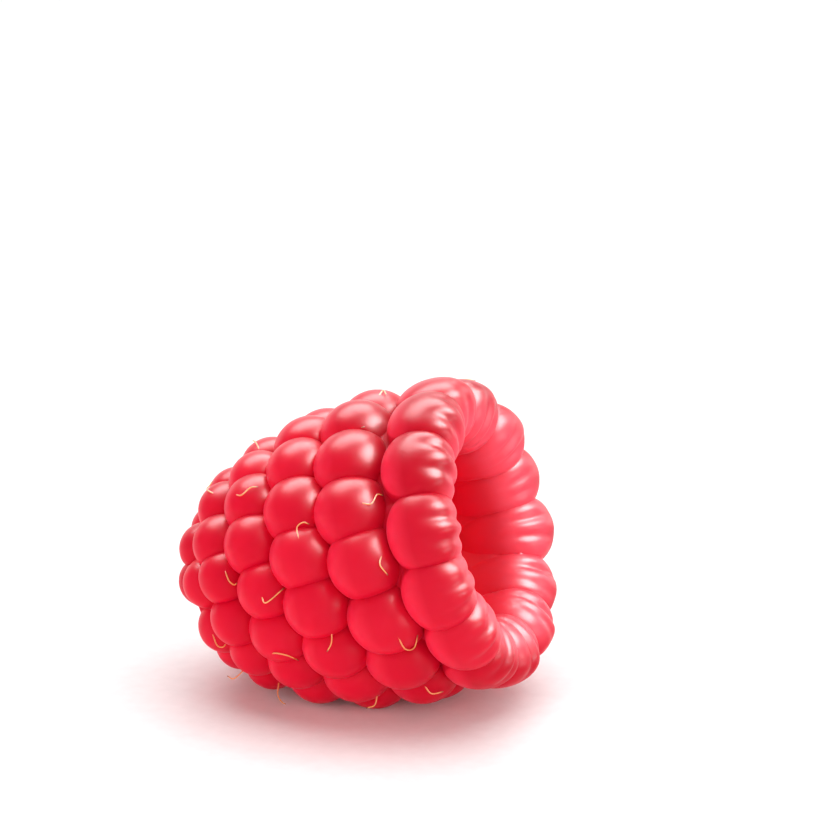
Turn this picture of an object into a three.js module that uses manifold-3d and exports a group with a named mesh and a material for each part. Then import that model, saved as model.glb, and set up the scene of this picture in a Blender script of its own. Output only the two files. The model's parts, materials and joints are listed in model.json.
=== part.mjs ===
// A ripe raspberry as it comes off its plug: one hollow fruit of many drupelets grown together,
// lying on its side. Millimetres, +Z up. The open end looks along +X and the tip along -X.
import * as THREE from "three";
import { mergeVertices } from "three/addons/utils/BufferGeometryUtils.js";
import Module from "manifold-3d";

const wasm = await Module();
wasm.setup();

// The fruit's body, measured along its axis from the rim circle towards the tip.
const BODY_RADIUS = 11.15; // over the drupelets, at the widest row
const WIDEST_AT = 5.5;
const TIP_AT = 21.7;
const TAPER = 1.7; // how soon the body starts to narrow behind the widest row
const BLUNTNESS = 2.5; // how blunt the tip is; 2 would be an ellipse
const RIM_NARROWING = 0.4; // how much smaller the body is at the rim circle

// The hollow that the plug leaves.
const HOLLOW_RADIUS = 6; // at the rim circle
const HOLLOW_DEPTH = 15.2;
const HOLLOW_TAPER = 2.3;

// The drupelets: rows from the rim to the tip, each turned by its phase in degrees.
const ROWS = [
  { at: 0.3, count: 14, phase: 18.3, height: 1.85, rim: true },
  { at: 5.6, count: 15, phase: 8.4, height: 3 },
  { at: 10.15, count: 16, phase: 17.7, height: 2.8 },
  { at: 14.2, count: 16, phase: 5.7, height: 2.5 },
  { at: 17.7, count: 14, phase: 15.1, height: 2.2 },
  { at: 20.5, count: 9, phase: 17.3, height: 1.95 },
  { at: 21.7, count: 2, phase: 20, height: 1.8 },
];
const RIM_RING_RADIUS = 9.2; // of the circle through the rim drupelets' middles
const RIM_ROOT = 3.2; // how far a rim drupelet reaches inwards from its middle
const RIM_HALF_LENGTH = 2.75; // a rim drupelet's half size along the fruit
const RIM_UNEVEN = 0.3; // how much longer it is at the back, and shorter at the front
const RIM_HALF_WIDTH = 2.9;
const RIM_WIDENING = 1.6; // how much wider it is towards the hollow
const WALL_ROOT = 2; // how far the other drupelets reach inwards from their middles
const SPREAD = 0.97; // a free drupelet's half width over its height
const PRESS = 10; // how flat two drupelets press on each other
const OVERLAP = 1.18; // how far each one swells past the plane that it shares with its neighbour
const NEIGHBOUR_WITHIN = 2.36; // half widths between the middles of two drupelets that can touch
const LEAN = 0.9; // how far the rows sag towards the rim on one side
const LEAN_ANGLE = 68; // degrees
const ANGLE_SCATTER = 1.6; // degrees
const AXIAL_SCATTER = 0.22;
const SIZE_SCATTER = 0.05;
const SEED = 20477;

// The flesh that joins the drupelets under their skins.
const CREVICE_DEPTH = 2.1; // under the outer skin
const THROAT = [[-1.3, 9.2], [-1.5, 8.4], [-1.4, 7.5], [-0.8, 6.8]]; // it fills the rim, as [at, radius]
const WALL_FROM = 1.2; // where the hollow's own wall starts
const INNER_RELIEF = 0.4; // how far the drupelets' inner ends stand out of it
const CORE_SIDES = 30;
const CORE_STEPS = 8;

const FACET_DETAIL = 1; // how finely each drupelet's skin is faceted

// How it lies: the axis rises towards the open end, and the lowest drupelets are pressed flat.
const AXIS_RISE = 16.6; // degrees
const FLATTENED = 0.5;
const TABLE_SIZE = 60;

const radians = THREE.MathUtils.degToRad;

// A small seeded generator, so that every build scatters the drupelets the same way.
const MULTIPLIER = 16807;
const MODULUS = 2147483647;
let state = SEED;
function scatter() {
  state = (state * MULTIPLIER) % MODULUS;
  return (state / MODULUS) * 2 - 1;
}

// The outer skin's radius at a distance from the rim circle.
function bodyRadius(at) {
  if (at < WIDEST_AT) {
    const share = (WIDEST_AT - at) / WIDEST_AT;
    return BODY_RADIUS - RIM_NARROWING * share * share;
  }
  const share = Math.min(1, (at - WIDEST_AT) / (TIP_AT - WIDEST_AT));
  return BODY_RADIUS * Math.pow(1 - Math.pow(share, TAPER), 1 / BLUNTNESS);
}

function hollowRadius(at) {
  const share = THREE.MathUtils.clamp(at / HOLLOW_DEPTH, 0, 1);
  return HOLLOW_RADIUS * Math.pow(1 - Math.pow(share, HOLLOW_TAPER), 1 / HOLLOW_TAPER);
}

// The skin's outward direction in the plane through the axis, as [towards the tip, away from the axis].
const SLOPE_STEP = 0.05;
function bodyNormal(at) {
  if (at >= TIP_AT) return [1, 0];
  const beyond = bodyRadius(Math.min(TIP_AT, at + SLOPE_STEP));
  const rise = (beyond - bodyRadius(at - SLOPE_STEP)) / (2 * SLOPE_STEP);
  const length = Math.hypot(1, rise);
  return [-rise / length, 1 / length];
}

// A point of the berry's own frame: the axis is X, and the angle runs from -Y up to +Z.
function around(at, radius, angle) {
  return new THREE.Vector3(-at, -radius * Math.cos(angle), radius * Math.sin(angle));
}

// Every drupelet's middle, its directions and its half sizes.
function placeDrupelets() {
  const placed = [];
  for (const row of ROWS) {
    for (let i = 0; i < row.count; i++) {
      const angle = radians(row.phase + (360 * i) / row.count + ANGLE_SCATTER * scatter());
      const lean = row.rim ? 0 : LEAN * Math.min(0, Math.sin(angle - radians(LEAN_ANGLE)));
      const at = Math.min(TIP_AT, row.at + AXIAL_SCATTER * scatter() + lean);
      const height = row.height * (1 + SIZE_SCATTER * scatter());
      placed.push(row.rim ? rimDrupelet(at, angle, height) : wallDrupelet(at, angle, height));
    }
  }
  return placed;
}

function rimDrupelet(at, angle, height) {
  return {
    middle: around(at, RIM_RING_RADIUS, angle),
    out: around(0, 1, angle),
    along: new THREE.Vector3(1, 0, 0),
    height,
    root: RIM_ROOT,
    halfLength: RIM_HALF_LENGTH - RIM_UNEVEN * Math.cos(angle),
    halfWidth: RIM_HALF_WIDTH,
    widening: RIM_WIDENING,
  };
}

function wallDrupelet(at, angle, height) {
  const [towardsTip, away] = bodyNormal(at);
  const out = around(towardsTip, away, angle);
  return {
    middle: around(at, bodyRadius(at), angle).addScaledVector(out, -height),
    out,
    along: around(-away, towardsTip, angle),
    height,
    root: WALL_ROOT,
    halfLength: height * SPREAD,
    halfWidth: height * SPREAD,
    widening: 0,
  };
}

// The planes that a drupelet shares with those pressed against it.
function sharedPlanes(drupelet, all) {
  const planes = [];
  for (const other of all) {
    const apart = other.middle.clone().sub(drupelet.middle);
    const distance = apart.length();
    if (other === drupelet || distance > NEIGHBOUR_WITHIN * drupelet.halfWidth) continue;
    const share = drupelet.halfWidth / (drupelet.halfWidth + other.halfWidth);
    planes.push({ towards: apart.normalize(), distance: distance * share * OVERLAP });
  }
  return planes;
}

// A drupelet's skin in one direction from its middle: a swollen sac held in by its neighbours.
function reach(direction, drupelet, planes) {
  const outwards = direction.dot(drupelet.out);
  const lengthwise = direction.dot(drupelet.along);
  const sideways = Math.sqrt(Math.max(0, 1 - outwards * outwards - lengthwise * lengthwise));
  const depth = outwards > 0 ? drupelet.height : drupelet.root;
  const free = Math.hypot(
    outwards / depth,
    lengthwise / drupelet.halfLength,
    sideways / (drupelet.halfWidth + drupelet.widening * Math.max(0, -outwards)),
  );
  let sum = Math.pow(free, PRESS);
  for (const plane of planes) {
    const facing = direction.dot(plane.towards);
    if (facing > 0) sum += Math.pow(facing / plane.distance, PRESS);
  }
  return Math.pow(sum, -1 / PRESS);
}

function drupeletGeometry(drupelet, all) {
  const planes = sharedPlanes(drupelet, all);
  const geometry = new THREE.IcosahedronGeometry(1, FACET_DETAIL);
  const corners = geometry.getAttribute("position");
  const corner = new THREE.Vector3().fromBufferAttribute(corners, 0).normalize();
  geometry.applyQuaternion(new THREE.Quaternion().setFromUnitVectors(corner, drupelet.out));
  const direction = new THREE.Vector3();
  for (let i = 0; i < corners.count; i++) {
    direction.fromBufferAttribute(corners, i).normalize();
    direction.multiplyScalar(reach(direction, drupelet, planes)).add(drupelet.middle);
    corners.setXYZ(i, direction.x, direction.y, direction.z);
  }
  return geometry;
}

// The flesh between skins and hollow, turned round the axis.
function coreGeometry() {
  const profile = [];
  const tipDepth = TIP_AT - CREVICE_DEPTH;
  for (let i = CORE_STEPS; i >= 0; i--) {
    const at = tipDepth * Math.sin((Math.PI / 2) * (i / CORE_STEPS));
    const radius = bodyRadius(at) - CREVICE_DEPTH * bodyNormal(at)[1];
    profile.push(new THREE.Vector2(i === CORE_STEPS ? 0 : radius, -at));
  }
  for (const [at, radius] of THROAT) {
    profile.push(new THREE.Vector2(radius, -at));
  }
  for (let i = 0; i <= CORE_STEPS; i++) {
    const share = Math.sin((Math.PI / 2) * (i / CORE_STEPS));
    const at = WALL_FROM + (HOLLOW_DEPTH - WALL_FROM) * share;
    const radius = i === CORE_STEPS ? 0 : hollowRadius(at) + INNER_RELIEF;
    profile.push(new THREE.Vector2(radius, -at - INNER_RELIEF * share));
  }
  return new THREE.LatheGeometry(profile, CORE_SIDES).rotateZ(-Math.PI / 2);
}

// A closed geometry as a solid that can be joined and cut, and back.
const WELD_WITHIN = 1e-4;
function toSolid(geometry) {
  const bare = geometry.clone();
  bare.deleteAttribute("normal");
  bare.deleteAttribute("uv");
  const merged = mergeVertices(bare, WELD_WITHIN);
  return new wasm.Manifold(
    new wasm.Mesh({
      numProp: 3,
      vertProperties: new Float32Array(merged.getAttribute("position").array),
      triVerts: new Uint32Array(merged.index.array),
    }),
  );
}

function toGeometry(solid) {
  const mesh = solid.getMesh();
  const geometry = new THREE.BufferGeometry();
  geometry.setAttribute("position", new THREE.BufferAttribute(mesh.vertProperties, 3));
  geometry.setIndex(new THREE.BufferAttribute(mesh.triVerts, 1));
  geometry.computeVertexNormals();
  return geometry;
}

// What the table presses flat under the fruit.
function tableUnder(geometry) {
  geometry.computeBoundingBox();
  const table = new THREE.BoxGeometry(TABLE_SIZE, TABLE_SIZE, TABLE_SIZE);
  return table.translate(0, 0, geometry.boundingBox.min.z + FLATTENED - TABLE_SIZE / 2);
}

// The whole fruit, lying on z = 0 with the middle of its bounding box over the origin.
function fruitGeometry() {
  const drupelets = placeDrupelets();
  let fruit = toSolid(coreGeometry());
  for (const drupelet of drupelets) {
    fruit = fruit.add(toSolid(drupeletGeometry(drupelet, drupelets)));
  }
  const leaning = toGeometry(fruit).rotateY(-radians(AXIS_RISE));
  const resting = toGeometry(toSolid(leaning).subtract(toSolid(tableUnder(leaning))));
  resting.computeBoundingBox();
  const { min, max } = resting.boundingBox;
  return resting.translate(-(min.x + max.x) / 2, -(min.y + max.y) / 2, -min.z);
}

const skin = new THREE.MeshStandardMaterial({ color: 0xe32038, roughness: 0.3, metalness: 0 });
const fruit = new THREE.Mesh(fruitGeometry(), skin);
fruit.name = "fruit";

const raspberry = new THREE.Group();
raspberry.name = "raspberry";
raspberry.add(fruit);

export default raspberry;
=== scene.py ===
# %% [markdown]
# # A ripe raspberry off its plug
#
# One large raspberry lies on its side on a pale table. It has been pulled off its plug, so it is a
# hollow thimble of 86 drupelets, and the camera looks a little way into its open end. Lengths are
# in millimetres until a mesh is made, and meshes are in metres.
#
# The steps are: the body and its hollow, where the drupelets sit, the shape of one, all of them
# grown together with the flesh, the skin, the camera, the dried styles, the table and the light.

# %% Load the solid that this fruit stands for
import json
import math

import bpy
import numpy as np
from mathutils import Matrix, Vector
from mathutils.bvhtree import BVHTree

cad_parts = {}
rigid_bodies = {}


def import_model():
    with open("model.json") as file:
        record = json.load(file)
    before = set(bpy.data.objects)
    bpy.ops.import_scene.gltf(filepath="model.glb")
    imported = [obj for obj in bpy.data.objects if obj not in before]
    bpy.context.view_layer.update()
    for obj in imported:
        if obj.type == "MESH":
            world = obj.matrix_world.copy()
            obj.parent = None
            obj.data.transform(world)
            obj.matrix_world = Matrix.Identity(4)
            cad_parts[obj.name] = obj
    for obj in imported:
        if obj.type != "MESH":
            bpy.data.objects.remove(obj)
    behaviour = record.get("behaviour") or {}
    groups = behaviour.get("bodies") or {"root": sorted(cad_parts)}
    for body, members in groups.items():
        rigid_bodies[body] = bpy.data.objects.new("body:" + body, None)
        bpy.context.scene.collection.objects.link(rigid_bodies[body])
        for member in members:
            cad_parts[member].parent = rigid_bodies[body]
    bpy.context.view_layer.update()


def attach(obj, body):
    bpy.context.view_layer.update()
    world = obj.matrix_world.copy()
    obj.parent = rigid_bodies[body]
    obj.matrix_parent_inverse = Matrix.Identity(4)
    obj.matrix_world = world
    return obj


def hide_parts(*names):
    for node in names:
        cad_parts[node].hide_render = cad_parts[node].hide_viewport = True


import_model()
MM = 0.001

# %% [markdown]
# ## The body
# Under its drupelets a raspberry is a blunt cone: widest a little behind the rim, and run in to a
# round tip. It could be sculpted, or turned from a drawn outline. Here a formula gives the radius
# at each place along the axis, because its slope also says which way a drupelet points, and because
# the solid is made from the same numbers, so the fine skin lies on it. Places are measured from the
# rim circle, where the fruit sat on its plug, towards the tip.

# %% Profile of the body
BODY_RADIUS = 11.15  # over the drupelets, at the widest place
WIDEST_AT = 5.5
TIP_AT = 21.7
TAPER, BLUNTNESS = 1.7, 2.5  # powers: how late the body runs in, and how round the tip is
RIM_NARROWING = 0.4
SLOPE_STEP = 0.05


def body_radius(at):
    if at < WIDEST_AT:
        share = (WIDEST_AT - at) / WIDEST_AT
        return BODY_RADIUS - RIM_NARROWING * share * share
    share = min(1.0, (at - WIDEST_AT) / (TIP_AT - WIDEST_AT))
    return BODY_RADIUS * (1 - share**TAPER) ** (1 / BLUNTNESS)


def body_normal(at):
    """How far the skin faces towards the tip, and how far away from the axis."""
    if at >= TIP_AT:
        return 1.0, 0.0
    ahead, behind = min(TIP_AT, at + SLOPE_STEP), at - SLOPE_STEP
    rise = (body_radius(ahead) - body_radius(behind)) / (2 * SLOPE_STEP)
    length = math.hypot(1, rise)
    return -rise / length, 1 / length


def around(at, radius, angle):
    """A point, or a direction, from its place on the axis, its radius and its angle round it."""
    return np.array([-at, -radius * math.cos(angle), radius * math.sin(angle)])


print("body's radius at the rim and half way:", [round(body_radius(a), 2) for a in (0, TIP_AT / 2)])

# %% [markdown]
# ## The hollow
# The plug leaves a thimble with a round end. A turned drill hole would be too straight, so a
# second formula keeps the wall nearly level at first and then closes it in a dome.

# %% Profile of the hollow
HOLLOW_RADIUS = 6.0
HOLLOW_DEPTH = 15.2
HOLLOW_ROUNDNESS = 2.3  # 2 would be half an ellipse


def hollow_radius(at):
    share = min(1.0, max(0.0, at / HOLLOW_DEPTH))
    return HOLLOW_RADIUS * (1 - share**HOLLOW_ROUNDNESS) ** (1 / HOLLOW_ROUNDNESS)


print("hollow's radius half way in:", round(hollow_radius(HOLLOW_DEPTH / 2), 2))

# %% [markdown]
# ## A little unevenness
# A grown thing is never exact. Blender could scatter things with its own noise, but a small seeded
# generator gives the same numbers in the solid's source and here. So every drupelet of the skin
# sits on its own bump of the solid.

# %% Seeded scatter
SEED, MULTIPLIER, MODULUS = 20477, 16807, 2147483647
state = SEED


def scatter():
    """The next number between -1 and 1."""
    global state
    state = (state * MULTIPLIER) % MODULUS
    return state / MODULUS * 2 - 1


# %% [markdown]
# ## Where the drupelets sit
# Drupelets grow in rings round the plug, and each ring is turned so that its drupelets fall between
# those of the ring before. They could be strewn over the body, but then they would not pack as real
# ones do. So each ring is written down with its place, its count and its turn, which are read off
# the seams in the picture. The rim's drupelets lie along the axis; all others stand on the body.

# %% Place the drupelets
ROWS = [  # phase turns a ring, in degrees; height is from a drupelet's middle up to its crown
    dict(at=0.3, count=14, phase=18.3, height=1.85, rim=True),
    dict(at=5.6, count=15, phase=8.4, height=3),
    dict(at=10.15, count=16, phase=17.7, height=2.8),
    dict(at=14.2, count=16, phase=5.7, height=2.5),
    dict(at=17.7, count=14, phase=15.1, height=2.2),
    dict(at=20.5, count=9, phase=17.3, height=1.95),
    dict(at=21.7, count=2, phase=20, height=1.8),
]
RIM_RING_RADIUS = 9.2
RIM_ROOT, WALL_ROOT = 3.2, 2  # how far a drupelet reaches down from its middle
RIM_HALF_LENGTH, RIM_UNEVEN = 2.75, 0.3  # a rim drupelet is shorter on the near side
RIM_HALF_WIDTH, RIM_WIDENING = 2.9, 1.6  # and wider below its middle
SPREAD = 0.97  # a wall drupelet's half width, as a share of its height
LEAN, LEAN_ANGLE = 0.9, 68  # the rings lean towards the rim on one side, in mm and degrees
ANGLE_SCATTER, AXIAL_SCATTER, SIZE_SCATTER = 1.6, 0.22, 0.05  # degrees, mm and a share


def place_drupelets():
    placed = []
    for number, row in enumerate(ROWS):
        for i in range(row["count"]):
            degrees = row["phase"] + 360 * i / row["count"] + ANGLE_SCATTER * scatter()
            angle = math.radians(degrees)
            rim = row.get("rim", False)
            lean = 0 if rim else LEAN * min(0, math.sin(angle - math.radians(LEAN_ANGLE)))
            at = min(TIP_AT, row["at"] + AXIAL_SCATTER * scatter() + lean)
            height = row["height"] * (1 + SIZE_SCATTER * scatter())
            towards_tip, away = (0.0, 1.0) if rim else body_normal(at)
            out = around(towards_tip, away, angle)
            on_body = around(at, body_radius(at), angle) - height * out
            uneven = RIM_UNEVEN * math.cos(angle)
            placed.append(dict(
                row=number, index=i, angle=angle, height=height, rim=rim, out=out,
                middle=around(at, RIM_RING_RADIUS, angle) if rim else on_body,
                along=np.array([1.0, 0, 0]) if rim else around(-away, towards_tip, angle),
                root=RIM_ROOT if rim else WALL_ROOT,
                half_length=RIM_HALF_LENGTH - uneven if rim else height * SPREAD,
                half_width=RIM_HALF_WIDTH if rim else height * SPREAD,
                widening=RIM_WIDENING if rim else 0,
            ))
    return placed


DRUPELETS = place_drupelets()
print("drupelets:", len(DRUPELETS), "in rings of", [row["count"] for row in ROWS])

# %% [markdown]
# ## Soft steps and angles
# A grown shape has no hard borders, so most of the fine shaping fades in and out. A material's own
# ramps could do that for colours alone. The folds need it in the mesh too, so a smooth step works
# on a whole array at once. On a rim drupelet a place is told by its angle from outwards, over the
# crest and down the hollow.

# %% Helpers for fading
def smooth(low, high, values):
    """0 at low and 1 at high, whichever of them is larger, and a soft step between."""
    share = np.clip((values - low) / (high - low), 0, 1)
    return share * share * (3 - 2 * share)


def angle_inwards(forward, outwards):
    """Degrees: 0 outwards, 90 on the crest, 180 inwards, and up to 270 down the wall."""
    return (np.degrees(np.arctan2(forward, outwards)) + 90) % 360 - 90


# %% [markdown]
# ## Folds over the rim
# Where the plug was pulled out, the skin of the rim's drupelets is drawn inwards. It lies in soft
# folds that run over the crest and fade in the hollow. Sculpting would draw them once and by hand;
# here each rim drupelet has two soft grooves at seeded places, so all are of one kind and no two
# are the same. They begin further out on the near side, as in the picture.

# %% Folds of the rim's drupelets
PLEATS_FRONT, PLEATS_BACK = -15, 70  # degrees from outwards where a fold begins, near and far side
PLEATS_RISE = 80  # degrees that it takes to deepen
PLEATS_FADE, PLEATS_END = 110, 205  # where it begins to fade, and where it ends
PLEAT_PLACE, PLEAT_SHIFT = 0.34, 0.12  # shares of half a drupelet's width
PLEAT_WIDTH, PLEAT_DEPTH = 0.2, 0.36  # share of half its width, and mm
PLEAT_STRENGTH, STRENGTH_SCATTER = 0.7, 0.3
SIDE_FADE = (1.0, 0.7)  # shares of half its width; the seam itself has no fold

for sac in DRUPELETS:
    if sac["rim"]:
        places = [side * PLEAT_PLACE + PLEAT_SHIFT * scatter() for side in (-1, 1)]
        sac["pleats"] = [(p, PLEAT_STRENGTH + STRENGTH_SCATTER * scatter()) for p in places]


def pleats(directions, reach, sac):
    """How deep the folds are, in mm, at each point of a rim drupelet."""
    turned_in = angle_inwards(directions @ sac["along"], directions @ sac["out"])
    start = PLEATS_FRONT + (PLEATS_BACK - PLEATS_FRONT) * (1 - math.cos(sac["angle"])) / 2
    along_fold = smooth(start, start + PLEATS_RISE, turned_in)
    along_fold = along_fold * smooth(PLEATS_END, PLEATS_FADE, turned_in)
    points = sac["middle"] + directions * reach[:, None]
    turned = np.arctan2(points[:, 2], -points[:, 1]) - sac["angle"]
    turned = (turned + math.pi) % (2 * math.pi) - math.pi
    aside = turned / (math.pi / ROWS[0]["count"])
    depth = 0
    for place, strength in sac["pleats"]:
        depth = depth + strength * np.exp(-(((aside - place) / PLEAT_WIDTH) ** 2))
    return PLEAT_DEPTH * depth * along_fold * smooth(*SIDE_FADE, np.abs(aside))


print("folds:", sum(len(sac.get("pleats", ())) for sac in DRUPELETS))

# %% [markdown]
# ## The shape of one drupelet
# A drupelet is a tight sac of juice. Left alone it would be a rounded cushion; its neighbours press
# on it along the planes half way between them. It could be a sphere cut by those planes, but then
# the seams would be flat-sided. The sum of high powers below is a soft minimum of all the limits,
# so the skin is round and full over the crown and turns down steeply at a seam. A rim drupelet also
# has a tail, which runs down the hollow's wall and fades into it.

# %% Shape of a sac
PRESS = 10  # the power: a higher one presses flatter and turns sharper
OVERLAP = 1.18  # neighbours sink into each other a little, so that the seam is a crease
NEIGHBOUR_WITHIN = 2.36  # half widths; a drupelet further off doesn't press
RIM_TAIL = 5.5  # how much further a rim drupelet runs down the hollow's wall
TAIL_FROM = 0.35  # how much a direction points down where the tail has its full length


def sac_reach(directions, sac):
    """How far the skin is from the drupelet's middle, in mm, along each direction."""
    outwards = directions @ sac["out"]
    lengthwise = directions @ sac["along"]
    sideways = np.sqrt(np.maximum(0, 1 - outwards**2 - lengthwise**2))
    depth = np.where(outwards > 0, sac["height"], sac["root"])
    tail = smooth(0, TAIL_FROM, -outwards) * (lengthwise < 0) * sac["rim"]
    half_length = sac["half_length"] + RIM_TAIL * tail
    half_width = sac["half_width"] + sac["widening"] * np.maximum(0, -outwards)
    free = (outwards / depth) ** 2 + (lengthwise / half_length) ** 2
    total = (free + (sideways / half_width) ** 2) ** (PRESS / 2)
    for other in DRUPELETS:
        apart = other["middle"] - sac["middle"]
        distance = np.linalg.norm(apart)
        if other is sac or distance > NEIGHBOUR_WITHIN * sac["half_width"]:
            continue
        share = sac["half_width"] / (sac["half_width"] + other["half_width"])
        facing = np.maximum(0, directions @ (apart / distance))
        facing = facing * (1 if other["rim"] else 1 - tail)
        total = total + (facing / (distance * share * OVERLAP)) ** PRESS
    reach = total ** (-1 / PRESS)
    return reach - pleats(directions, reach, sac) if sac["rim"] else reach


# %% [markdown]
# ## An even mesh to shape
# A sphere of rings and segments crowds its faces at two poles, and they would show as stars on the
# crowns. An icosphere is even everywhere. Blender's own can only double its faces, so this one
# divides each side of the icosahedron into any number of edges: few on the wall, more on the rim,
# where the folds are fine.

# %% Even sphere of triangles
WALL_DETAIL, RIM_DETAIL = 11, 20  # edges along each side of the icosahedron
ICOSAHEDRON_EDGE = 2.0
SAME, KEY_DIGITS = 1e-6, 6


def geodesic(detail):
    golden = (1 + math.sqrt(5)) / 2
    corners = [(a, b * golden, 0) for b in (1, -1) for a in (-1, 1)]
    corners += [(0, a, b * golden) for b in (1, -1) for a in (-1, 1)]
    corners += [(b * golden, 0, a) for b in (1, -1) for a in (-1, 1)]
    corners = np.array(corners, float)
    apart = np.linalg.norm(corners[:, None] - corners[None], axis=2)
    near = np.abs(apart - ICOSAHEDRON_EDGE) < SAME
    every = range(len(corners))
    triples = [(a, b, c) for a in every for b in every for c in every
               if a < b < c and near[a, b] and near[b, c] and near[a, c]]
    points, faces, known = [], [], {}

    def point(triple, i, j):
        a, b, c = (corners[t] for t in triple)
        p = (a * (detail - i) + b * (i - j) + c * j) / detail
        key = tuple(np.round(p, KEY_DIGITS) + 0.0)
        if key not in known:
            known[key] = len(points)
            points.append(p / np.linalg.norm(p))
        return known[key]

    for triple in triples:
        a, b, c = (corners[t] for t in triple)
        turn = -1 if np.dot(np.cross(b - a, c - a), a) < 0 else 1
        for i in range(detail):
            for j in range(i + 1):
                here, there = point(triple, i, j), point(triple, i + 1, j)
                across = point(triple, i + 1, j + 1)
                faces.append((here, there, across)[::turn])
                if j < i:
                    faces.append((here, across, point(triple, i, j + 1))[::turn])
    return np.array(points), faces


WALL_SPHERE, RIM_SPHERE = geodesic(WALL_DETAIL), geodesic(RIM_DETAIL)
print("faces of a sac:", len(WALL_SPHERE[1]), "on the wall,", len(RIM_SPHERE[1]), "at the rim")

# %% [markdown]
# ## From the fruit's own axis to the table
# The fruit lies on its widest part and its narrow tip, so its axis rises towards the open end. The
# finished object could be turned. Here it is shaped along a level axis and every point is laid down
# when a mesh is made, because the skin's facts are later worked out along that axis again.

# %% Lay points on the table
AXIS_RISE = 16.6  # degrees
RIM_MIDDLE = (8.034, -0.078, 12.557)  # where the rim circle's middle is over the table
LEAN_BACK = np.array(Matrix.Rotation(-math.radians(AXIS_RISE), 3, "Y"))


def to_table(points):
    return (np.asarray(points) @ LEAN_BACK.T + np.array(RIM_MIDDLE)) * MM


def to_fruit(points):
    return (np.asarray(points) / MM - np.array(RIM_MIDDLE)) @ LEAN_BACK


def mesh_object(name, points, faces, collection=None):
    mesh = bpy.data.meshes.new(name)
    mesh.from_pydata([tuple(p) for p in points], [], [tuple(f) for f in faces])
    mesh.update()
    obj = bpy.data.objects.new(name, mesh)
    (collection or bpy.context.scene.collection).objects.link(obj)
    return obj


def mark(obj, number):
    """Every face remembers which piece it came from."""
    faces = len(obj.data.polygons)
    attribute = obj.data.attributes.new("piece", "INT", "FACE")
    attribute.data.foreach_set("value", [number] * faces)


# %% [markdown]
# ## The flesh under the skins
# The drupelets hold together by a thin layer of flesh. Its inner side is the wall that the plug has
# left, and its outer side shows only as deep corners between drupelets. It is a turned thing, so
# one outline is run round the axis like a pot: up the outside from the tip, over the throat inside
# the rim and down the wall to the hollow's end.

# %% Turn the flesh round the axis
CREVICE_DEPTH = 2.1  # how far the flesh lies under the crowns
THROAT = [(-1.3, 9.2), (-1.5, 8.4), (-1.4, 7.5), (-0.8, 6.8)]  # place and radius, inside the rim
WALL_FROM = 1.2  # where the wall begins behind the throat
INNER_RELIEF = 0.4  # the wall lies behind the solid's, so that the tails stand over it
FLESH_SIDES, FLESH_STEPS = 140, 26


def flesh_profile():
    outer, inner = [], []
    for i in range(FLESH_STEPS, -1, -1):
        at = (TIP_AT - CREVICE_DEPTH) * math.sin(math.pi / 2 * i / FLESH_STEPS)
        outer.append((at, body_radius(at) - CREVICE_DEPTH * body_normal(at)[1]))
    for i in range(FLESH_STEPS + 1):
        share = math.sin(math.pi / 2 * i / FLESH_STEPS)
        at = WALL_FROM + (HOLLOW_DEPTH - WALL_FROM) * share
        inner.append((at + INNER_RELIEF * share, hollow_radius(at) + INNER_RELIEF))
    return outer[0][0], outer[1:] + THROAT + inner[:-1], inner[-1][0]


def turned(name, first, rings, last):
    points = [around(first, 0, 0)]
    for at, radius in rings:
        points += [around(at, radius, 2 * math.pi * k / FLESH_SIDES) for k in range(FLESH_SIDES)]
    points.append(around(last, 0, 0))
    faces = []
    for k in range(FLESH_SIDES):
        following = (k + 1) % FLESH_SIDES
        faces.append((0, 1 + k, 1 + following))
        for ring in range(len(rings) - 1):
            here, there = 1 + ring * FLESH_SIDES, 1 + (ring + 1) * FLESH_SIDES
            faces.append((here + k, there + k, there + following, here + following))
        end = 1 + (len(rings) - 1) * FLESH_SIDES
        faces.append((end + following, end + k, len(points) - 1))
    return mesh_object(name, to_table(points), faces)


FLESH = len(DRUPELETS)  # its number, after the drupelets'
fruit = turned("raspberry_skin", *flesh_profile())
mark(fruit, FLESH)
print("flesh:", len(fruit.data.polygons), "faces")

# %% [markdown]
# ## Grow the drupelets together
# On the real fruit the sacs share one skin with the flesh, and a seam is a crease in it. The sacs
# could be left as separate shapes that run into each other, but their hidden parts would stay in
# the mesh, and light inside the skin would meet them. One Boolean union of all of them leaves a
# single closed skin.

# %% Join the sacs
sacs = bpy.data.collections.new("sacs")
bpy.context.scene.collection.children.link(sacs)
for number, sac in enumerate(DRUPELETS):
    directions, faces = RIM_SPHERE if sac["rim"] else WALL_SPHERE
    reach = sac_reach(directions, sac)
    points = to_table(sac["middle"] + directions * reach[:, None])
    mark(mesh_object(f"sac_{sac['row']}_{sac['index']}", points, faces, sacs), number)

union = fruit.modifiers.new("grow_together", "BOOLEAN")
union.operation = "UNION"
union.operand_type = "COLLECTION"
union.collection = sacs
union.solver = "MANIFOLD"
bpy.context.view_layer.objects.active = fruit
bpy.ops.object.modifier_apply(modifier="grow_together")
for operand in list(sacs.objects):
    bpy.data.objects.remove(operand)
bpy.data.collections.remove(sacs)
triangles = sum(len(face.vertices) - 2 for face in fruit.data.polygons)
print("joined skin:", len(fruit.data.vertices), "corners,", triangles, "triangles")

# %% [markdown]
# ## The flats it lies on
# The lowest drupelets carry the fruit's weight, and the table presses them flat. A soft-body
# simulation could work that out, but the flats are small and hardly seen, so every corner that
# would be under the table is raised to it.

# %% Press the underside flat
def read(items, fact, numbers=1, kind=np.int32):
    """One fact, of one or more numbers, of all the items of a mesh."""
    values = np.empty(len(items) * numbers, kind)
    items.foreach_get(fact, values)
    return values


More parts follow.
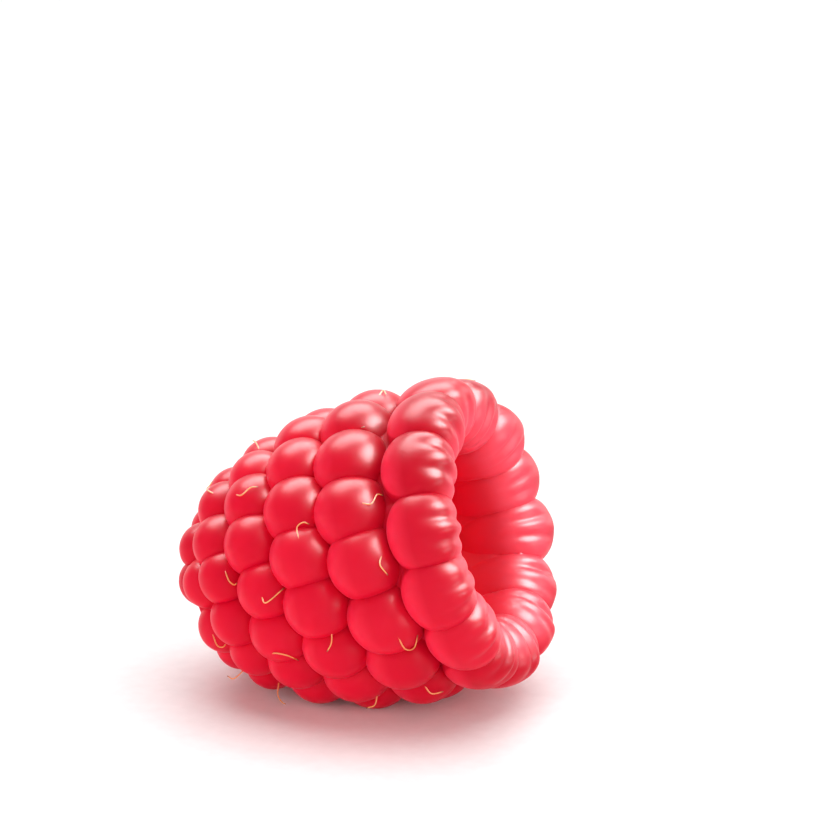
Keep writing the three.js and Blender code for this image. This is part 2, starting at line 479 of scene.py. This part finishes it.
corners = read(fruit.data.vertices, "co", 3, float).reshape(-1, 3)
pressed = corners[:, 2] < 0
corners[pressed, 2] = 0
fruit.data.vertices.foreach_set("co", corners.ravel())
fruit.data.update()
print("corners pressed flat:", int(pressed.sum()))

# %% [markdown]
# ## Crisp seams
# The skin is smooth on each drupelet and creased where two meet. An angle limit would miss the
# shallow seams and break up the folds. The faces still know their pieces, so an edge is made sharp
# exactly where the faces beside it come from two of them.

# %% Smooth skin, sharp seams
faces, edges, loops = fruit.data.polygons, fruit.data.edges, fruit.data.loops
piece = read(fruit.data.attributes["piece"].data, "value")
piece_at_loop = np.repeat(piece, read(faces, "loop_total"))
edge_at_loop, corner_at_loop = read(loops, "edge_index"), read(loops, "vertex_index")
lowest, highest = np.full(len(edges), FLESH), np.zeros(len(edges), int)
np.minimum.at(lowest, edge_at_loop, piece_at_loop)
np.maximum.at(highest, edge_at_loop, piece_at_loop)
seam = lowest != highest
sharp = fruit.data.attributes.new("sharp_edge", "BOOLEAN", "EDGE")
sharp.data.foreach_set("value", seam)
fruit.data.polygons.foreach_set("use_smooth", [True] * len(fruit.data.polygons))
fruit.data.update()
print("edges along the seams:", int(seam.sum()), "of", len(seam))

# %% [markdown]
# ## Where each spot of skin is
# A drupelet isn't one red all over: its colour depends on where a spot lies on it and on the fruit.
# That could be painted by hand. Here the same geometry that made the skin tells it, so the colours
# sit exactly on the shapes. First each corner is told its drupelet, and its place on it.

# %% Each corner's drupelet and its place on it
def facts(name):
    return np.array([sac[name] for sac in DRUPELETS])


local = to_fruit(corners)
tints = np.array([scatter() for _ in DRUPELETS])
owner = np.full(len(local), FLESH)
np.minimum.at(owner, corner_at_loop, piece_at_loop)
on_flesh = owner == FLESH
to_middles = np.linalg.norm(local[on_flesh, None] - facts("middle")[None], axis=2)
owner[on_flesh] = np.argmin(to_middles, axis=1)
on_rim = facts("rim")[owner]
own_away = local - facts("middle")[owner]
outwards = np.einsum("ij,ij->i", own_away, facts("out")[owner])
forward = np.einsum("ij,ij->i", own_away, facts("along")[owner])
crown = np.clip(outwards / facts("height")[owner], 0, 1)
turned_in = angle_inwards(forward, outwards)
depth_in = -local[:, 0]
radius_in = np.hypot(local[:, 1], local[:, 2])
wall_radius = np.array([hollow_radius(a) for a in depth_in]) + INNER_RELIEF
print("corners on the rim:", int(on_rim.sum()), "and on the flesh:", int(on_flesh.sum()))

# %% [markdown]
# ## What each spot of skin is
# From those places come the facts that the material reads. "inside" is the hollow's wall. A pit is
# a deep corner between drupelets, where flesh shows. "tip_side" runs from -1 to 1 along a drupelet
# towards the tip, and a pit counts as -1; the colours paint shade on its low end and a glow of
# light on its high end. "crest" is the skin that is drawn over the rim, which the colours paint
# pale, as light. "from_rim" runs from the rim to the wall's end, and "tint" is each drupelet's own.

# %% Store the facts as attributes
NEAR_WALL, WALL_BEGINS = (2.0, 0.0), (-0.8, 3.6)  # mm off the wall, and along the axis
PIT_HEIGHT = (0.45, 0.2)  # share of a drupelet's height
RIM_FOOT, TAIL_END = (20, -30), (235, 262)  # degrees, where a rim drupelet's pits are
CREST_RISES, CREST_FADES = (70, 130), (150, 262)  # degrees, where the painted pale glow of the crest rises and where it fades
NEAR_RIM = (-2, 14)  # mm along the axis

inside = smooth(*NEAR_WALL, radius_in - wall_radius) * smooth(*WALL_BEGINS, depth_in)
pit = np.maximum(smooth(*RIM_FOOT, turned_in), smooth(*TAIL_END, turned_in))
pit = np.where(on_rim, pit, 1) * smooth(*PIT_HEIGHT, crown)
pit = np.where(on_flesh, 1, pit)
# tip_side carries painted light: the colours paint shade on its rim end and a glow of light on its
# tip end; pits take the rim end
tip_side = -forward / facts("half_length")[owner]
tip_side -= (tip_side + 1) * pit
# the crest is where the colours paint a pale glow of light over the rim
crest = on_rim * smooth(*CREST_RISES, turned_in) * (1 - smooth(*CREST_FADES, turned_in))
SKIN_FACTS = {
    "tip_side": tip_side,
    "from_rim": smooth(*NEAR_RIM, depth_in),
    "tint": tints[owner],
    "crest": crest * (1 - inside),
    "inside": inside,
    "matt": np.maximum(inside, pit),
}
for name, values in SKIN_FACTS.items():
    attribute = fruit.data.attributes.new(name, "FLOAT", "POINT")
    attribute.data.foreach_set("value", values.astype(np.float32))
print("facts:", {name: [round(float(v), 2) for v in (values.min(), values.max())]
                 for name, values in SKIN_FACTS.items()})

# %% [markdown]
# ## Helpers for materials
# Colours are written as a screen shows them, in sRGB hex, and one function turns them to the linear
# light that the renderer works in. Another adds a node: it takes the node's settings, and for each
# input a value or another node's output to link. An input is named by its label with _ for a space,
# or by i and its place where labels repeat. On a Mix node i0 is the amount, i6 and i7 are the two
# colours, and i2 and i3 are the two numbers.

# %% Colour and node helpers
def linear(hex_colour):
    channels = [int(hex_colour[i:i + 2], 16) / 255 for i in (1, 3, 5)]
    return tuple(c / 12.92 if c <= 0.04045 else ((c + 0.055) / 1.055) ** 2.4
                 for c in channels) + (1.0,)


def new_material(name):
    material = bpy.data.materials.new(name)
    material.use_nodes = True
    material.node_tree.nodes.clear()
    return material, material.node_tree


def add(tree, kind, settings=None, **inputs):
    node = tree.nodes.new(kind)
    for key, value in (settings or {}).items():
        setattr(node, key, value)
    for key, value in inputs.items():
        by_place = key[0] == "i" and key[1:].isdigit()
        socket = node.inputs[int(key[1:]) if by_place else key.replace("_", " ")]
        if isinstance(value, bpy.types.NodeSocket):
            tree.links.new(value, socket)
        else:
            socket.default_value = value
    return node


print("a pure red in linear light:", linear("#ff0000"))

# %% [markdown]
# ## The skin's colours
# Ripe raspberry skin is a living film, grown tight round red juice. Its colours here also paint
# light and shade. Each drupelet is deepest on the side that faces the rim, as painted shade, and
# paler on its tip's side, as a painted glow of light that has come through the juice. The skin
# drawn over the rim is paler too, as painted light, and the whole fruit is darker towards the rim.
# Each line below is one such change. It could be an image painted on the unwrapped skin, but layers
# of plain colours stay easy to change, and they need no picture. Faint mottle, in patches of about
# a third of a drupelet, is riper juice in some of its cells.

# %% The skin's colours, one over the other
MOTTLE_SIZE = 2.4  # mm
NOISE_LOW, NOISE_HIGH = 0.3, 0.7  # between which most of a noise's values lie
# the juice's own deep red, which is also the painted shade on each drupelet's rim side; pits take
# it too
JUICE_AND_SHADE = "#ca0226"
SKIN_LAYERS = [  # the fact, from where to where it acts, how much at most, and the colour
    ("tip_side", -0.75, -0.05, 1.0, "#e0042c"),  # painted shade fades away from the rim's side
    ("from_rim", 1.0, 0.0, 0.75, "#b4001a"),  # darker towards the rim
    ("tip_side", 0.1, 0.8, 1.0, "#ff2e4e"),  # painted glow of light on the tip's side
    ("tint", -1.0, 1.0, 0.35, "#f82442"),  # no two drupelets alike
    ("mottle", 0.35, 0.7, 0.3, "#d80428"),
    ("crest", 0.0, 1.0, 0.7, "#ff5a6e"),  # painted pale glow of light over the rim's crest
    ("inside", 0.0, 1.0, 1.0, "#ec0a2c"),  # the wall of the hollow
]

skin, tree = new_material("juicy_drupelet_skin")
place = add(tree, "ShaderNodeTexCoord").outputs["Object"]
mottle = add(tree, "ShaderNodeTexNoise", Vector=place, Scale=1 / (MOTTLE_SIZE * MM),
             Detail=3.0, Roughness=0.6).outputs[0]
colour = linear(JUICE_AND_SHADE)
for name, start, full, most, hex_colour in SKIN_LAYERS:
    fact = mottle if name == "mottle" else \
        add(tree, "ShaderNodeAttribute", {"attribute_name": name}).outputs["Fac"]
    amount = add(tree, "ShaderNodeMapRange", Value=fact, From_Min=start, From_Max=full,
                 To_Min=0.0, To_Max=most).outputs[0]
    colour = add(tree, "ShaderNodeMix", {"data_type": "RGBA"}, i0=amount, i6=colour,
                 i7=linear(hex_colour)).outputs[2]
print("layers of colour in the skin:", len(SKIN_LAYERS))

# %% [markdown]
# ## The skin's surface
# The film is smooth and a little waxy, so lights show on it as soft pale patches, not as sharp
# mirrors, and a little less so in the mottle. In the hollow and in the pits it is matt flesh. Light
# enters the juice, is reddened and comes out nearby: that is the subsurface part, over about a
# millimetre in red and far less in green and blue. Juice has the IOR of water and sugar, 1.33 to
# 1.36. The specular level is well under its usual half, because the picture's drupelets stay deep
# red between their lights. Real cells of the skin are about 0.05 mm, too fine to show, so the
# relief is drawn coarser, at 0.4 mm.

# %% The skin's gloss, juice and relief
CELL_SIZE, CELL_RELIEF, RELIEF_STRENGTH = 0.4, 0.05, 0.05  # mm, mm and a share
WAXY, WAXY_MOTTLE, MATT_FLESH = 0.34, 0.39, 0.62  # roughness
JUICE_IOR = 1.33
JUICE_DEPTH = 1.1  # mm that red light travels in the juice
GREEN_TRAVELS, BLUE_TRAVELS = 0.18, 0.16  # as shares of red's way
JUICE_SHARE, SOFT_SHINE = 0.45, 0.2  # how much light goes in, and how strong the gloss is

cells = add(tree, "ShaderNodeTexNoise", Vector=place, Scale=1 / (CELL_SIZE * MM),
            Detail=2.0, Roughness=0.5)
relief = add(tree, "ShaderNodeBump", Strength=RELIEF_STRENGTH, Distance=CELL_RELIEF * MM,
             Height=cells.outputs[0])
gloss = add(tree, "ShaderNodeMapRange", Value=mottle, From_Min=NOISE_LOW, From_Max=NOISE_HIGH,
            To_Min=WAXY, To_Max=WAXY_MOTTLE)
matt = add(tree, "ShaderNodeAttribute", {"attribute_name": "matt"})
roughness = add(tree, "ShaderNodeMix", {"data_type": "FLOAT"}, i0=matt.outputs["Fac"],
                i2=gloss.outputs[0], i3=MATT_FLESH)
shader = add(tree, "ShaderNodeBsdfPrincipled", Base_Color=colour, IOR=JUICE_IOR,
             Roughness=roughness.outputs[0], Normal=relief.outputs[0],
             Specular_IOR_Level=SOFT_SHINE, Subsurface_Weight=JUICE_SHARE,
             Subsurface_Scale=JUICE_DEPTH * MM,
             Subsurface_Radius=(1.0, GREEN_TRAVELS, BLUE_TRAVELS))
add(tree, "ShaderNodeOutputMaterial", Surface=shader.outputs[0])
fruit.data.materials.clear()
fruit.data.materials.append(skin)
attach(fruit, "root")
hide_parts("fruit")
print("nodes in the skin:", len(tree.nodes))

# %% [markdown]
# ## The camera
# It stands in front of the fruit and a little to the open end's side, and looks down at it by
# fifteen degrees, through a long lens as for a small thing on a table. It could be turned by hand
# until the pictures agree. Here it is worked out from where the fruit's middle lies in the picture,
# which is left of its middle and below it, so the camera can look straight ahead without a shift.

# %% Camera
CAMERA_TURN, CAMERA_UP = 16.84, 15.0  # degrees
CAMERA_DISTANCE = 180.0
LENS, SENSOR, PICTURE = 110.0, 36.0, 840  # mm, mm and pixels
CLIP_NEAR, CLIP_FAR = 0.01, 20  # metres
FRUIT_IN_PICTURE = (349.2, 557.2)  # pixels from the left and from the top
MIDDLE_AT = 9.5  # the fruit's middle, on its axis

turn, up_by = math.radians(CAMERA_TURN), math.radians(CAMERA_UP)
back = np.array([math.sin(turn) * math.cos(up_by), -math.cos(turn) * math.cos(up_by),
                 math.sin(up_by)])
right = np.array([math.cos(turn), math.sin(turn), 0.0])
up = np.cross(back, right)
per_pixel = CAMERA_DISTANCE * SENSOR / LENS / PICTURE
aside = (FRUIT_IN_PICTURE[0] - PICTURE / 2) * per_pixel
above = (PICTURE / 2 - FRUIT_IN_PICTURE[1]) * per_pixel
middle = to_table([[-MIDDLE_AT, 0, 0]])[0] / MM
eye = middle + back * CAMERA_DISTANCE - right * aside - up * above

camera_data = bpy.data.cameras.new("camera")
camera_data.lens, camera_data.sensor_width = LENS, SENSOR
camera_data.clip_start, camera_data.clip_end = CLIP_NEAR, CLIP_FAR
camera = bpy.data.objects.new("camera", camera_data)
bpy.context.scene.collection.objects.link(camera)
axes = np.array([right, up, back]).T
camera.matrix_world = Matrix([[*row, e * MM] for row, e in zip(axes, eye)] + [[0, 0, 0, 1]])
bpy.context.scene.camera = camera
print("camera at mm:", [round(v, 1) for v in eye])

# %% [markdown]
# ## The dried styles in sight
# Every drupelet once carried a style, the thread that pollen grew down. Some still do: thin dry
# curls, golden with a dark end. Blender's hair would strew them evenly, but the eye knows these by
# their places. So each one in sight is a few points in the picture, cast onto the finished skin.
# The first point is the root, which is sunk in, and the others stand a little off the skin. A curl
# that runs out past the fruit's edge keeps the depth that it had there.

# %% Cast the picture's curls onto the skin
STYLE_RADIUS = 0.056  # at the root
STYLE_LIFT = 0.17
DEPTH_JUMP = 1.5  # a point that falls this much nearer or further has missed its drupelet
CURLS = [  # pixels from the left and from the top
    [(330.6, 428.6), (346.6, 431.9), (364.3, 427.2)],
    [(362.0, 502.9), (370.5, 504.3), (375.5, 495.9), (384.5, 495.9)],
    [(298.9, 539.4), (297.5, 529.6), (303.1, 521.7), (308.7, 523.4)],
    [(235.8, 494.5), (242.8, 495.9), (251.2, 488.9), (258.2, 488.3)],
    [(259.3, 449.6), (256.8, 444.0), (252.6, 440.6)],
    [(213.6, 493.5), (208.5, 491.0), (209.5, 485.8), (212.5, 481.2)],
    [(185.8, 566.1), (191.4, 573.6), (198.7, 566.1)],
    [(225.1, 570.8), (228.7, 580.1), (233.5, 584.3), (236.3, 582.3)],
    [(261.6, 596.9), (266.6, 601.7), (283.5, 587.7)],
    [(381.7, 555.7), (379.4, 564.7), (386.7, 574.5)],
    [(332.0, 634.0), (331.7, 643.2), (327.8, 651.1)],
    [(397.7, 636.2), (404.1, 646.9), (412.5, 646.0), (415.9, 634.0)],
    [(272.2, 653.9), (277.9, 651.6), (287.7, 653.9), (297.5, 658.1)],
    [(211.6, 631.2), (217.5, 643.2), (223.1, 645.2), (226.5, 642.4)],
    [(241.3, 675.5), (234.1, 678.5), (227.3, 676.0)],
    [(280.7, 689.5), (277.9, 695.1), (282.1, 702.2), (285.7, 704.1)],
    [(377.5, 695.7), (374.7, 705.0), (366.2, 708.1)],
    [(424.6, 685.9), (430.8, 691.8), (442.0, 690.1)],
    [(378.9, 395.1), (382.8, 392.7), (386.2, 397.1)],
]

skin_tree = BVHTree.FromObject(fruit, bpy.context.evaluated_depsgraph_get())


def picture_ray(x, y):
    across, over = (x - PICTURE / 2) * per_pixel, (PICTURE / 2 - y) * per_pixel
    return Vector(-back * CAMERA_DISTANCE + right * across + up * over).normalized()


def curl_from_picture(pixels):
    start, towards_eye = Vector(eye) * MM, Vector(back)
    path, last = [], None
    for number, (x, y) in enumerate(pixels):
        ray = picture_ray(x, y)
        spot, normal, _, _ = skin_tree.ray_cast(start, ray)
        missed = spot is None or last is not None and \
            abs((spot - last).dot(towards_eye)) > DEPTH_JUMP * MM
        if missed and last is not None:
            reach = (last - start).dot(towards_eye) / ray.dot(towards_eye)
            spot, normal = start + ray * reach, Vector((0, 0, 0))
        elif missed:
            spot, normal, _, _ = skin_tree.find_nearest(start + ray * CAMERA_DISTANCE * MM)
        last = spot
        path.append(spot + normal * (-STYLE_RADIUS if number == 0 else STYLE_LIFT) * MM)
    return path


curls = [curl_from_picture(pixels) for pixels in CURLS]
print("curls seen in the picture:", len(curls))

# %% [markdown]
# ## The dried styles out of sight
# The far side carries such curls too, and the picture doesn't show where. They could be drawn by
# hand from behind. Here the generator picks their drupelets, but none that the fruit lies on. Each
# curl starts beside the crown and walks over the skin in a few steps, turning as it goes.

# %% Curls on the sides that the picture doesn't show
CURL_STEPS = 4
CURL_LENGTH, LENGTH_SCATTER = 2.0, 0.5
CURL_BEHIND = 0.4  # share of its length that lies before the crown
CURL_BEND, FIRST_BENDS = 1.3, 0.5  # radians at a step, and the share of it at the first two
CURL_RISE = 0.05  # how much further each next point stands off
FAR_SIDE, UNDERSIDE = -0.3, -0.75  # how much a drupelet faces the camera, and up
CURL_BELOW = 0.1  # a drupelet whose draw is below this carries one


def seeded_curl(sac):
    crown_at = Vector(to_table([sac["middle"] + sac["out"] * sac["height"]])[0])
    out, heading = Vector(LEAN_BACK @ sac["out"]), Vector(LEAN_BACK @ sac["along"])
    heading.rotate(Matrix.Rotation(math.pi * scatter(), 3, out))
    length = (CURL_LENGTH + LENGTH_SCATTER * scatter()) * MM
    bend = CURL_BEND * scatter()
    path, spot = [], crown_at - heading * length * CURL_BEHIND
    for number in range(CURL_STEPS + 1):
        near, normal, _, _ = skin_tree.find_nearest(spot)
        off = -STYLE_RADIUS if number == 0 else STYLE_LIFT + CURL_RISE * number
        path.append(near + normal * off * MM)
        share = 1 if number > 1 else FIRST_BENDS
        heading.rotate(Matrix.Rotation(bend * share, 3, normal))
        spot = near + heading * length / CURL_STEPS
    return path


for sac in DRUPELETS:
    draw = scatter()
    faces_out = LEAN_BACK @ sac["out"]
    if faces_out @ back < FAR_SIDE and faces_out[2] > UNDERSIDE and draw < CURL_BELOW:
        curls.append(seeded_curl(sac))
print("curls in all:", len(curls))

# %% [markdown]
# ## From a path to a thread
# A style is round, 0.11 mm thick at its root and thinner at its end. A Blender curve with a bevel
# would do, but a tube made here keeps its number of faces low and knows how far along each point
# is, which the dark end needs. The few points of a path are first joined by a smooth curve through
# all of them, whose slope at each point follows its two neighbours.

# %% Tubes along the curls
STYLE_END_RADIUS = 0.036
STYLE_SIDES, STYLE_STEPS = 6, 14


def smooth_path(path):
    ends = [path[0] * 2 - path[1]] + list(path) + [path[-1] * 2 - path[-2]]
    fine = []
    for step in range(STYLE_STEPS + 1):
        along = step / STYLE_STEPS * (len(path) - 1)
        i = min(int(along), len(path) - 2)
        t = along - i
        a, b, c, d = ends[i:i + 4]
        square = (2 * a - 5 * b + 4 * c - d) * t * t
        cube = (3 * b - a - 3 * c + d) * t**3
        fine.append(0.5 * (2 * b + (c - a) * t + square + cube))
    return fine


def tube(path):
    """Points and faces of a thin tapered tube along the path, closed at both ends."""
    points, faces, side = [], [], None
    for number, spot in enumerate(path):
        before, after = path[max(number - 1, 0)], path[min(number + 1, len(path) - 1)]
        heading = (after - before).normalized()
        side = heading.orthogonal() if side is None else side - heading * side.dot(heading)
        side.normalize()
        other = heading.cross(side)
        share = number / (len(path) - 1)
        radius = (STYLE_RADIUS + (STYLE_END_RADIUS - STYLE_RADIUS) * share) * MM
        for k in range(STYLE_SIDES):
            angle = 2 * math.pi * k / STYLE_SIDES
            points.append(spot + (side * math.cos(angle) + other * math.sin(angle)) * radius)
    for ring in range(len(path) - 1):
        for k in range(STYLE_SIDES):
            here = ring * STYLE_SIDES + k
            following = ring * STYLE_SIDES + (k + 1) % STYLE_SIDES
            faces.append((here, following, following + STYLE_SIDES, here + STYLE_SIDES))
    faces.append(tuple(range(STYLE_SIDES))[::-1])
    faces.append(tuple(range((len(path) - 1) * STYLE_SIDES, len(path) * STYLE_SIDES)))
    return points, faces


all_points, all_faces, share_along, lengths = [], [], [], []
for path in curls:
    path = smooth_path(path)
    lengths.append(sum((b - a).length for a, b in zip(path, path[1:])) / MM)
    points, faces = tube(path)
    all_faces += [tuple(i + len(all_points) for i in face) for face in faces]
    share_along += [i // STYLE_SIDES / STYLE_STEPS for i in range(len(points))]
    all_points += points
styles = mesh_object("dried_styles", all_points, all_faces)
styles.data.polygons.foreach_set("use_smooth", [True] * len(styles.data.polygons))
attribute = styles.data.attributes.new("share_along", "FLOAT", "POINT")
attribute.data.foreach_set("value", share_along)
print("styles are", round(min(lengths), 1), "to", round(max(lengths), 1), "mm long")

# %% [markdown]
# ## Dry golden plant thread
# A dried style is dead plant fibre that has shrunk and browned in the sun. To the eye it is a
# satin, straw-gold thread that lets a little light through, redder at its root, where it joins the
# juice, and dark at its end. Plant fibre has an IOR near 1.5, which is the shader's own. It is too
# thin to show any grain.

# %% Dry golden style
DRY_ROOT = "#f08a58"
DRY_LAYERS = [(0.0, 0.75, "#f4b268"), (0.86, 0.97, "#8a4a2a")]  # shares along it, and the colour
SATIN, LIGHT_THROUGH = 0.5, 0.3  # roughness, and how much light goes in
THREAD_DEPTH = 0.2  # mm that light travels in it
GREEN_IN_FIBRE, BLUE_IN_FIBRE = 0.5, 0.25  # as shares of red's way

dry, tree = new_material("dry_golden_style")
along = add(tree, "ShaderNodeAttribute", {"attribute_name": "share_along"}).outputs["Fac"]
colour = linear(DRY_ROOT)
for start, full, hex_colour in DRY_LAYERS:
    amount = add(tree, "ShaderNodeMapRange", Value=along, From_Min=start, From_Max=full)
    colour = add(tree, "ShaderNodeMix", {"data_type": "RGBA"}, i0=amount.outputs[0], i6=colour,
                 i7=linear(hex_colour)).outputs[2]
shader = add(tree, "ShaderNodeBsdfPrincipled", Base_Color=colour, Roughness=SATIN,
             Subsurface_Weight=LIGHT_THROUGH, Subsurface_Scale=THREAD_DEPTH * MM,
             Subsurface_Radius=(1.0, GREEN_IN_FIBRE, BLUE_IN_FIBRE))
add(tree, "ShaderNodeOutputMaterial", Surface=shader.outputs[0])
styles.data.materials.append(dry)
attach(styles, "root")
print("nodes in the dry style:", len(tree.nodes))

# %% [markdown]
# ## The table
# A sheet of uncoated paper, pressed from pulp: white, quite matt, with hardly any gloss. It could
# be curved up behind as in a studio, but it is so large that it fills the picture as it is. Its
# fibres are some 0.03 mm thick, too fine to show, so its faint cloudiness is drawn at 1.1 mm.

# %% Pale table
HALF_TABLE = 1.6  # metres
GRAIN_SIZE = 1.1  # mm
PULP_ROUGHNESS, PULP_SHINE = 0.9, 0.1
sheet = [(x * HALF_TABLE, y * HALF_TABLE, 0) for x, y in ((-1, -1), (1, -1), (1, 1), (-1, 1))]
table = mesh_object("table", sheet, [(0, 1, 2, 3)])

paper, tree = new_material("pale_matt_paper")
place = add(tree, "ShaderNodeTexCoord").outputs["Object"]
grain = add(tree, "ShaderNodeTexNoise", Vector=place, Scale=1 / (GRAIN_SIZE * MM))
amount = add(tree, "ShaderNodeMapRange", Value=grain.outputs[0], From_Min=NOISE_LOW,
             From_Max=NOISE_HIGH)
tone = add(tree, "ShaderNodeMix", {"data_type": "RGBA"}, i0=amount.outputs[0],
           i6=linear("#fafafa"), i7=linear("#ffffff"))
shader = add(tree, "ShaderNodeBsdfPrincipled", Base_Color=tone.outputs[2],
             Roughness=PULP_ROUGHNESS, Specular_IOR_Level=PULP_SHINE)
add(tree, "ShaderNodeOutputMaterial", Surface=shader.outputs[0])
table.data.materials.append(paper)
print("table:", 2 * HALF_TABLE, "m wide")

# %% [markdown]
# ## A softbox
# A small glossy thing is lit by large soft panels. A picture of a studio wrapped round the scene
# would do, but Blender's area light can be placed and sized one by one. Its strength is given here
# as radiance, how bright the panel itself looks, because that is what the skin mirrors, so a panel
# can be resized and its reflection stays as bright. Its place is told as the camera sees it: right,
# up and back from the fruit's middle, then a distance, a width and a height in metres.

# %% Make a softbox
def softbox(name, towards, distance, width, height, radiance, diffuse=True, gloss=True):
    direction = np.array(towards, float) @ np.array([right, up, back])
    direction /= np.linalg.norm(direction)
    data = bpy.data.lights.new(name, "AREA")
    data.shape, data.size, data.size_y = "RECTANGLE", width, height
    data.energy = radiance * math.pi * width * height
    light = bpy.data.objects.new(name, data)
    facing = Vector(direction).to_track_quat("Z", "Y").to_matrix().to_4x4()
    at = Matrix.Translation(Vector(middle) * MM + Vector(direction) * distance)
    light.matrix_world = at @ facing
    light.visible_diffuse, light.visible_glossy = diffuse, gloss
    bpy.context.scene.collection.objects.link(light)
    return light


# %% [markdown]
# ## Light for the colour
# The picture's light is even, as in a pale room, and yet each drupelet has clear pale patches. One
# set of lights can't give both: panels bright enough for the patches would bleach the red. So there
# are two sets. The first is the room, four panels that light the skin and show no reflection.

# %% The room's panels
room = [
    softbox("room_top", (0.1, 1.0, 0.15), 1.0, 1.6, 1.2, 2.15, gloss=False),
    softbox("room_front", (0.0, 0.08, 1.0), 1.2, 1.6, 0.8, 1.45, gloss=False),
    softbox("room_left", (-1.0, 0.15, 0.4), 0.9, 1.0, 0.7, 1.4, gloss=False),
    softbox("room_right", (1.0, 0.25, 0.3), 0.9, 0.9, 0.8, 1.5, gloss=False),
]
print("room panels:", len(room))

# %% [markdown]
# ## Light for the gloss
# The second set shows in the skin's gloss alone. A bright window high on the right, with a faint
# glow round it, and a lower one under it give each drupelet its pair of lights. A panel overhead
# pales the upper edges, and boards on the right and behind pale the edges of the outline.

# %% The windows and boards
WINDOW_TOWARDS = (0.62, 0.72, 0.36)
windows = [
    softbox("window", WINDOW_TOWARDS, 0.6, 0.46, 0.34, 100.0, diffuse=False),
    softbox("window_glow", WINDOW_TOWARDS, 0.62, 0.75, 0.55, 3.5, diffuse=False),
    softbox("low_window", (0.86, -0.12, 0.42), 0.6, 0.34, 0.18, 40.0, diffuse=False),
    softbox("overhead", (-0.15, 1.0, -0.2), 0.7, 0.8, 0.45, 32.0, diffuse=False),
    softbox("right_board", (0.9, 0.35, -0.5), 0.7, 0.4, 1.0, 6.0, diffuse=False),
    softbox("back_board", (-0.1, 0.25, -1.0), 1.0, 2.4, 1.2, 2.0, diffuse=False),
]
print("windows and boards:", len(windows))

# %% [markdown]
# ## The air of the room
# A weak white world fills the deepest shadows, as walls would. The Standard view shows colours as
# they are written here, where Blender's usual one would wash out the reds.

# %% World and view
WORLD_STRENGTH = 0.1
world = bpy.data.worlds.new("room")
world.use_nodes = True
background = world.node_tree.nodes["Background"]
background.inputs["Color"].default_value = (1, 1, 1, 1)
background.inputs["Strength"].default_value = WORLD_STRENGTH
bpy.context.scene.world = world
bpy.context.scene.view_settings.view_transform = "Standard"
print("world strength:", WORLD_STRENGTH)
